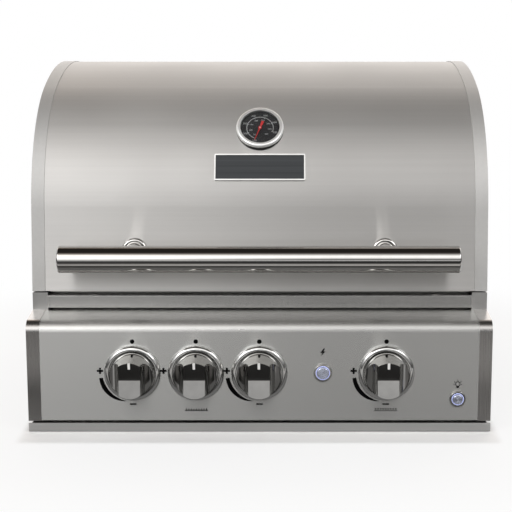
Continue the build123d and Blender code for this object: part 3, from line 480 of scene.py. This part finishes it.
def lathe(mesh, profile, place, steps=64):
    """Adds a closed profile of radius and height, turned round z."""
    rings = []
    for step in range(steps):
        turn = 2 * math.pi * step / steps
        rings.append([mesh.verts.new(place @ Vector((r * math.cos(turn), r * math.sin(turn), h)))
                      for r, h in profile])
    count = len(profile)
    for step in range(steps):
        here, after = rings[step], rings[(step + 1) % steps]
        for a in range(count):
            b = (a + 1) % count
            mesh.faces.new((here[a], after[a], after[b], here[b]))


def piece(name, mesh, material, body):
    """Turns a mesh into a piece that rides on a body."""
    bmesh.ops.recalc_face_normals(mesh, faces=mesh.faces)
    data = bpy.data.meshes.new(name)
    mesh.to_mesh(data)
    mesh.free()
    for face in data.polygons:
        face.use_smooth = False
    made = bpy.data.objects.new(name, data)
    bpy.context.scene.collection.objects.link(made)
    data.materials.append(material)
    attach(made, body)


def circle(radius, y, steps=48):
    turns = [2 * math.pi * a / steps for a in range(steps)]
    return [(radius * math.cos(turn), y + radius * math.sin(turn)) for turn in turns]


def box_outline(x, y, w, h):
    return [(x - w / 2, y - h / 2), (x + w / 2, y - h / 2), (x + w / 2, y + h / 2), (x - w / 2, y + h / 2)]


def polar(radius, degrees):
    turn = math.radians(degrees)
    return radius * math.cos(turn), radius * math.sin(turn)


def arc(radius, start, sweep, steps):
    return [polar(radius, start + sweep * a / steps) for a in range(steps + 1)]


def spoke(near, far, half, degrees):
    """The outline of a straight line that points away from the middle."""
    p, q, side = polar(near, degrees), polar(far, degrees), polar(half, degrees + 90)
    return [(p[0] - side[0], p[1] - side[1]), (q[0] - side[0], q[1] - side[1]),
            (q[0] + side[0], q[1] + side[1]), (p[0] + side[0], p[1] + side[1])]


# Marks printed on the control panel

INK = (-0.05 * MM, 0.12 * MM)
marks = bmesh.new()


def ink(outline, place):
    prism(marks, outline, *INK, place)


def crescent(place):
    """The low-to-high mark: an arc round the knob, widest near its left end."""
    inner = 46.4 * MM
    widest, widest_at, thinning = 6.7 * MM, 208, 18.8 * MM
    start, end, steps = 190, 258, 30
    inside, outer_edge = [], []
    for a in range(steps + 1):
        turn = start + (end - start) * a / steps
        width = widest - thinning * (1 - math.cos(math.radians(turn - widest_at)))
        inside.append(polar(inner, turn))
        outer_edge.append(polar(inner + max(width, 0.05 * MM), turn))
    band(marks, inside, outer_edge, *INK, place)


PLUS_X, PLUS_Z = -49.8 * MM, 2.6 * MM
for slot in KNOB_SLOTS:
    place = panel_plane(slot * KNOB_PITCH, KNOB_Z)
    ink(circle(3.5 * MM, 48.8 * MM), place)
    ink(box_outline(PLUS_X, PLUS_Z, 9.8 * MM, 3.2 * MM), place)
    for sign in (-1, 1):
        ink(box_outline(PLUS_X, PLUS_Z + sign * 3.25 * MM, 3.2 * MM, 3.3 * MM), place)
    if slot != REAR_BURNER_SLOT:
        ink(box_outline(0, -50.2 * MM, 10.0 * MM, 2.4 * MM), place)
        crescent(place)

# A flash over the igniter button and a lamp over the light button

BOLT_UP = 32 * MM
BOLT = [(1.0, 5.8), (-4.3, -1.1), (-0.9, -0.8), (-2.8, -5.8), (4.3, 1.5), (0.9, 1.2), (3.5, 5.8)]
ink([(x * MM, y * MM) for x, y in BOLT], panel_plane(IGNITION_BUTTON[0], IGNITION_BUTTON[1] + BOLT_UP))

LAMP_UP = 23.5 * MM
LAMP_BASE = [(-2.2, -3.2), (-1.7, -6.6), (1.7, -6.6), (2.2, -3.2)]
LAMP_RAYS = (-10, 35, 90, 145, 190)
lamp_place = panel_plane(LIGHT_BUTTON[0], LIGHT_BUTTON[1] + LAMP_UP)
band(marks, arc(2.8 * MM, -60, 300, 24), arc(4.0 * MM, -60, 300, 24), *INK, lamp_place)
ink([(x * MM, y * MM) for x, y in LAMP_BASE], lamp_place)
for turn in LAMP_RAYS:
    ink(spoke(4.8 * MM, 6.6 * MM, 0.6 * MM, turn), lamp_place)

# Small pictures of a flame row and a tile's holes under the second and fourth knobs, in place of words

PICTURE_DOWN = 58.6 * MM
PICTURE_COLUMNS = 9
PICTURE_WIDE = 35 * MM
for slot in (REAR_BURNER_SLOT, SEAR_BURNER_SLOT):
    place = panel_plane(slot * KNOB_PITCH, KNOB_Z - PICTURE_DOWN)
    ink(box_outline(0, -2.2 * MM, PICTURE_WIDE + 1 * MM, 1.0 * MM), place)
    for a in range(PICTURE_COLUMNS):
        x = (a - (PICTURE_COLUMNS - 1) / 2) * PICTURE_WIDE / PICTURE_COLUMNS
        if slot == REAR_BURNER_SLOT:
            ink([(x - 1.5 * MM, -1.4 * MM), (x + 1.5 * MM, -1.4 * MM), (x, 2.6 * MM)], place)
        else:
            ink(box_outline(x, 0.6 * MM, 2.2 * MM, 2.2 * MM), place)

piece("panel_print", marks, print_black, "grill_body")

# Light rings in the grooves of the push buttons' bezels, with radii and heights in millimetres

RING_FOOT, RING_SHOULDER, RING_TOP = 2.52, 3.4, 3.8
RING_CHAMFER = RING_TOP - RING_SHOULDER
for name, button, inner, outer in (("ignition_light_ring", IGNITION_BUTTON, 9.6, 11.0),
                                   ("light_button_ring", LIGHT_BUTTON, 8.1, 9.5)):
    mesh = bmesh.new()
    profile = [(inner, RING_FOOT), (outer, RING_FOOT), (outer, RING_SHOULDER),
               (outer - RING_CHAMFER, RING_TOP), (inner + RING_CHAMFER, RING_TOP), (inner, RING_SHOULDER)]
    lathe(mesh, [(r * MM, h * MM) for r, h in profile], panel_plane(*button))
    piece(name, mesh, led_glow, "grill_body")

# White pointers inlaid in the knobs' grooves

POINTER_HALF = 1.92 * MM
POINTER_FOOT = 43.07 * MM
POINTER_NEAR, POINTER_FAR = 17.9 * MM, 27.4 * MM
POINTER_SUNK = 0.02 * MM


def pointer_top(y):
    """The knob's dished front, less a hair."""
    return KNOB_REACH - KNOB_DISH * (1 - y / KNOB_FRONT_R) - POINTER_SUNK


for number, slot in enumerate(KNOB_SLOTS, start=1):
    mesh = bmesh.new()
    place = panel_plane(slot * KNOB_PITCH, KNOB_Z)
    corners = [(-POINTER_HALF, POINTER_NEAR), (POINTER_HALF, POINTER_NEAR),
               (POINTER_HALF, POINTER_FAR), (-POINTER_HALF, POINTER_FAR)]
    solid(mesh, [place @ Vector((x, y, POINTER_FOOT)) for x, y in corners],
          [place @ Vector((x, y, pointer_top(y))) for x, y in corners])
    bmesh.ops.bevel(mesh, geom=mesh.edges[:], offset=0.25 * MM, segments=2, affect="EDGES")
    piece(f"knob_{number}_pointer", mesh, pointer_white, f"knob_{number}")

# Scale printed on the thermometer's dial

DIAL_INK = (-0.02 * MM, 0.08 * MM)
ARC_R = 21.0 * MM
ARC_HALF = 0.45 * MM
START, SWEEP = 250, -270
TICKS = 36
TICKS_TO_MAJOR = 6
dial = plane(DIAL_FACE, (1, 0, 0), GAUGE_OUT)
scale = bmesh.new()
band(scale, arc(ARC_R - ARC_HALF, START, SWEEP, 60), arc(ARC_R + ARC_HALF, START, SWEEP, 60), *DIAL_INK, dial)
for a in range(TICKS + 1):
    major = a % TICKS_TO_MAJOR == 0
    long, half = (2.2 * MM, 0.4 * MM) if major else (1.2 * MM, 0.2 * MM)
    prism(scale, spoke(ARC_R - long, ARC_R, half, START + SWEEP * a / TICKS), *DIAL_INK, dial)


def number_on(mesh, words, spot, size, place, low, high):
    """Adds a plain number, centred on a point of a plane."""
    curve = bpy.data.curves.new("number", "FONT")
    curve.body = words
    curve.size = size
    curve.align_x = "CENTER"
    curve.align_y = "CENTER"
    curve.resolution_u = 3
    curve.extrude = (high - low) / 2
    holder = bpy.data.objects.new("number", curve)
    data = bpy.data.meshes.new_from_object(holder)
    data.transform(place @ Matrix.Translation((*spot, (high + low) / 2)))
    mesh.from_mesh(data)
    bpy.data.meshes.remove(data)
    bpy.data.objects.remove(holder)
    bpy.data.curves.remove(curve)


HUNDREDS, HUNDREDS_R, HUNDREDS_SIZE = 7, 25.2 * MM, 4.7 * MM
FIFTIES, FIFTIES_R, FIFTIES_SIZE = 8, 15.2 * MM, 3.9 * MM
FIFTIES_START, FIFTIES_STEP = START - 14, -40.7
for a in range(HUNDREDS):
    spot = polar(HUNDREDS_R, START + SWEEP * a / (HUNDREDS - 1))
    number_on(scale, str((a + 1) * 100), spot, HUNDREDS_SIZE, dial, *DIAL_INK)
for a in range(FIFTIES):
    spot = polar(FIFTIES_R, FIFTIES_START + FIFTIES_STEP * a)
    number_on(scale, str((a + 1) * 50), spot, FIFTIES_SIZE, dial, *DIAL_INK)
piece("thermometer_scale", scale, dial_print, "hood")

# Floor

FLOOR_Z = -0.2 * MM
FLOOR_RADII = (0.25, 0.5, 0.75, 1.0, 1.5)
FLOOR_STEPS = 64
floor_mesh = bmesh.new()
centre = floor_mesh.verts.new((0, 0, FLOOR_Z))
previous = None
for radius in FLOOR_RADII:
    turns = [2 * math.pi * a / FLOOR_STEPS for a in range(FLOOR_STEPS)]
    ring = [floor_mesh.verts.new((radius * math.cos(turn), radius * math.sin(turn), FLOOR_Z))
            for turn in turns]
    for a in range(FLOOR_STEPS):
        b = (a + 1) % FLOOR_STEPS
        if previous is None:
            floor_mesh.faces.new((centre, ring[a], ring[b]))
        else:
            floor_mesh.faces.new((previous[a], ring[a], ring[b], previous[b]))
    previous = ring
floor_data = bpy.data.meshes.new("floor")
floor_mesh.to_mesh(floor_data)
floor_mesh.free()
floor = bpy.data.objects.new("floor", floor_data)
bpy.context.scene.collection.objects.link(floor)

# What the steel mirrors of the floor in front is painted light: for all but camera rays the floor's colour is
# a pale sheet with painted shade near the grill and on the left, a painted falloff into the dark further off,
# and a painted dark band across it in place of a dark card's reflection. Each tone has its start and end, and
# its grey at both

PAINTED_CARD_Y = -0.5
paint = Paint("floor_white")
paint.set(Roughness=0.9, Specular_IOR_Level=0.1)
spot = paint.add("SeparateXYZ")
paint.link((paint.coords, "Object"), spot, 0)
x, y = (spot, "X"), (spot, "Y")
near_painted_shade = paint.eased(y, -0.44, -0.6, 0.27, 0.7)
far_painted_falloff = paint.eased(y, -0.65, -1.0, 1.0, 0.04)
left_painted_shade = paint.eased(x, -0.45, -0.05, 0.75, 1.0)
from_painted_card = paint.math("ABSOLUTE", paint.math("SUBTRACT", y, PAINTED_CARD_Y))
painted_card_reflection = paint.eased(from_painted_card, 0.042, 0.062, 0.15, 1.0)
tone = near_painted_shade
for other in (far_painted_falloff, left_painted_shade, painted_card_reflection):
    tone = paint.math("MULTIPLY", tone, other)
rays = paint.add("LightPath")
# Camera rays see the floor's own pale grey. All other rays see the painted light and shade above.
paint.feed(paint.mix((rays, "Is Camera Ray"), paint.grey(tone), (0.9, 0.9, 0.9)), "Base Color")

# White from the grill's edges outwards, weaker near it so that its shadow shows. Mirrored rays see it beside
# and behind the grill only

GRILL_HALF = (0.3555, 0.32)
over_x, over_y = (paint.math("SUBTRACT", paint.math("ABSOLUTE", value), half)
                  for value, half in zip((x, y), GRILL_HALF))
apart = paint.add("CombineXYZ")
paint.link(paint.math("MAXIMUM", over_x, 0.0), apart, "X")
paint.link(paint.math("MAXIMUM", over_y, 0.0), apart, "Y")
length = paint.add("VectorMath", operation="LENGTH")
paint.link((apart, "Vector"), length, 0)
distance = (length, "Value")
open_floor = paint.math("MULTIPLY", paint.eased(distance, 0.0, 0.5, 0.72), paint.eased(distance, 0.0, 0.015))
white_share = paint.math("MULTIPLY", open_floor, paint.white_rays(paint.eased(y, -0.36, -0.25)))
glow = paint.add("Emission", {"Color": (1, 1, 1, 1), "Strength": 1.0})
paint.surface(white_share, (paint.shader, "BSDF"), (glow, "Emission"))
floor_data.materials.append(paint.mat)

# World: a studio with bright cards in front of and behind the grill, and darkness over it

studio = bpy.data.worlds.new("studio")
bpy.context.scene.world = studio
world = Tree(studio, "OutputWorld")
parts = world.add("SeparateXYZ")
world.link((world.coords, "Generated"), parts, 0)
forward = world.math("MULTIPLY", (parts, "Y"), -1)
height = world.ranged(world.math("ARCTAN2", (parts, "Z"), forward), -math.pi, math.pi)

WARM_GREEN, WARM_BLUE = 0.1, 0.18


def sky(values):
    """Grey and warmth by degrees above the front horizon, over the top and down to the back one at 180."""
    ramp = world.add("ValToRGB")
    elements = ramp.color_ramp.elements
    while len(elements) < len(values):
        elements.new(0.5)
    for element, (degrees, grey, warm) in zip(elements, values):
        element.position = (degrees + 180) / 360
        element.color = (grey, grey * (1 - WARM_GREEN * warm), grey * (1 - WARM_BLUE * warm), 1)
    world.link(height, ramp, "Fac")
    return ramp, "Color"


LEFT = ((-60, 0.02, 0), (-20, 0.04, 0), (-12, 0.15, 0), (-6, 0.15, 0), (-2, 0.3, 0), (-1, 0.9, 0),
        (5, 0.8, 0), (12, 2.0, 0), (24, 3.4, 0), (32, 3.4, 0.1), (39, 2.9, 0.1), (47, 1.8, 0.4),
        (55, 0.7, 1.0), (64, 0.14, 1.2), (72, 0.03, 1.2), (112, 0.03, 1.2), (122, 0.22, 2), (130, 0.9, 1.8),
        (138, 1.95, 1.1), (147, 2.65, 0.5), (155, 2.5, 0.2), (164, 1.6, 0.1), (180, 0.8, 0.1))
RIGHT = ((-60, 0.02, 0), (-20, 0.02, 0), (-12, 0.05, 0), (-6, 0.05, 0), (-2, 0.08, 0), (-1, 1.0, 0),
         (4, 1.0, 0), (5, 0.12, 0), (12, 0.35, 0), (18, 0.95, 0), (24, 1.7, 0), (30, 2.15, 0.1),
         (36, 2.25, 0.1), (43, 1.8, 0.2), (50, 1.1, 0.3), (58, 0.38, 0.5), (67, 0.08, 1), (76, 0.03, 1.2),
         (110, 0.03, 1.2), (118, 0.22, 1), (126, 1.0, 0.9), (134, 1.9, 0.7), (143, 2.55, 0.5),
         (152, 2.55, 0.5), (164, 2.0, 0.4), (180, 1.5, 0.3))
to_right = world.eased((parts, "X"), -0.22, 0.06)
front_and_back = world.mix(to_right, sky(LEFT), sky(RIGHT))
to_side = world.eased(world.math("ABSOLUTE", (parts, "X")), 0.55, 0.85)
sides = world.eased((parts, "Z"), 0.0, 0.45, 0.1, 0.9)
cards = world.add("Background")
world.link(world.mix(to_side, front_and_back, sides), cards, "Color")
white = world.add("Background", {"Color": (1, 1, 1, 1)})
backdrop = world.eased((parts, "Y"), 0.96, 0.99)
world.surface(world.white_rays(backdrop), (cards, "Background"), (white, "Background"))

# Lamps


def softbox(name, place, watts):
    """A large soft lamp that is turned to the grill."""
    lamp = bpy.data.lights.new(name, "AREA")
    lamp.shape = "RECTANGLE"
    lamp.size = 0.8
    lamp.size_y = 1.1
    lamp.energy = watts
    holder = bpy.data.objects.new(name, lamp)
    holder.location = place
    to_grill = Vector((0, 0, 0.2)) - Vector(place)
    holder.rotation_euler = to_grill.to_track_quat("-Z", "Y").to_euler()
    holder.visible_camera = False
    bpy.context.scene.collection.objects.link(holder)


softbox("left_softbox", (-1.9, -1.7, 1.7), 14)
softbox("right_softbox", (1.9, -1.7, 1.7), 12)

# Camera, at the photograph's place

CAMERA_PITCH = 9
camera_data = bpy.data.cameras.new("camera")
camera_data.sensor_width = 36
camera_data.lens = 84.7
camera_data.shift_x = -0.0475
camera_data.shift_y = -0.1
camera = bpy.data.objects.new("camera", camera_data)
camera.location = (0.032, -2.0572, 0.6359)
camera.rotation_euler = (math.radians(90 - CAMERA_PITCH), 0, 0)
bpy.context.scene.collection.objects.link(camera)
bpy.context.scene.camera = camera

bpy.context.scene.view_settings.view_transform = "Standard"
